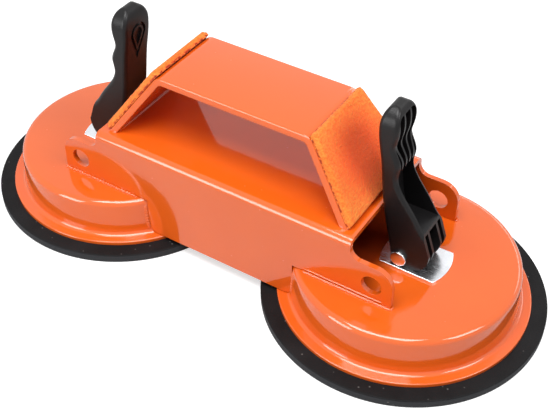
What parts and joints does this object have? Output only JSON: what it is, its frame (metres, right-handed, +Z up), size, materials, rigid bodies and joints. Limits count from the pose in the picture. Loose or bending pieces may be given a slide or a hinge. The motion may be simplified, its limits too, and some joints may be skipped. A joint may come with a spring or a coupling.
{
  "type": "double suction cup lifter",
  "caption": "Hand-held suction lifter: rubber suction cups under round steel covers, joined by a folded channel with a padded handle; flip levers draw the vacuum.",
  "frame": {"origin": "on the surface that the cups are pressed on, midway between the cups", "axes": "+X from the left cup to the right cup, +Y away from the picture's camera side, +Z up; the levers swing in planes parallel to XZ"},
  "size_m": [0.2614, 0.118, 0.0942],
  "materials": {
    "rubber": "matt moulded rubber",
    "steel": "zinc plated",
    "pin_steel": "polished",
    "spring_steel": "drawn wire",
    "orange_paint": "glossy powder coat",
    "polished_steel": "polished sheet",
    "pad_foam": "fine felt over foam",
    "lever_plastic": "satin moulded plastic"
  },
  "bodies": {
    "frame": {"channel": "orange_paint", "handle": "orange_paint", "handle_pad_left": "pad_foam", "handle_pad_right": "pad_foam", "cup_cover_left": "orange_paint", "cup_cover_right": "orange_paint", "wear_plate_left": "polished_steel", "wear_plate_right": "polished_steel", "channel_welds": "orange_paint", "handle_welds": "orange_paint", "rubber_disc_left": "rubber", "rubber_disc_right": "rubber", "return_spring_left": "spring_steel", "return_spring_right": "spring_steel"},
    "stud_left": {"pull_stud_left": "steel", "anchor_plate_left": "steel", "lever_pin_left": "pin_steel"},
    "lever_left": {"lever_left": "lever_plastic"},
    "stud_right": {"pull_stud_right": "steel", "anchor_plate_right": "steel", "lever_pin_right": "pin_steel"},
    "lever_right": {"lever_right": "lever_plastic"}
  },
  "joints": [
    {"name": "stud_lift_left", "type": "slide", "parent": "frame", "child": "stud_left", "axis": [0, 0, 1], "range_m": [0, 0.0085], "deforming": ["rubber_disc_left", "return_spring_left"]},
    {"name": "lever_turn_left", "type": "hinge", "parent": "stud_left", "child": "lever_left", "pos_m": [-0.0717, 0, 0.02755], "axis": [0, -1, 0], "range_deg": [0, 90]},
    {"name": "stud_lift_right", "type": "slide", "parent": "frame", "child": "stud_right", "axis": [0, 0, 1], "range_m": [0, 0.0085], "deforming": ["rubber_disc_right", "return_spring_right"]},
    {"name": "lever_turn_right", "type": "hinge", "parent": "stud_right", "child": "lever_right", "pos_m": [0.0717, 0, 0.02755], "axis": [0, 1, 0], "range_deg": [0, 90]}
  ],
  "couplings": [
    {"joint": "stud_lift_left", "follows": "lever_turn_left", "m_per_rad": 0.0054112},
    {"joint": "stud_lift_right", "follows": "lever_turn_right", "m_per_rad": 0.0054112}
  ]
}
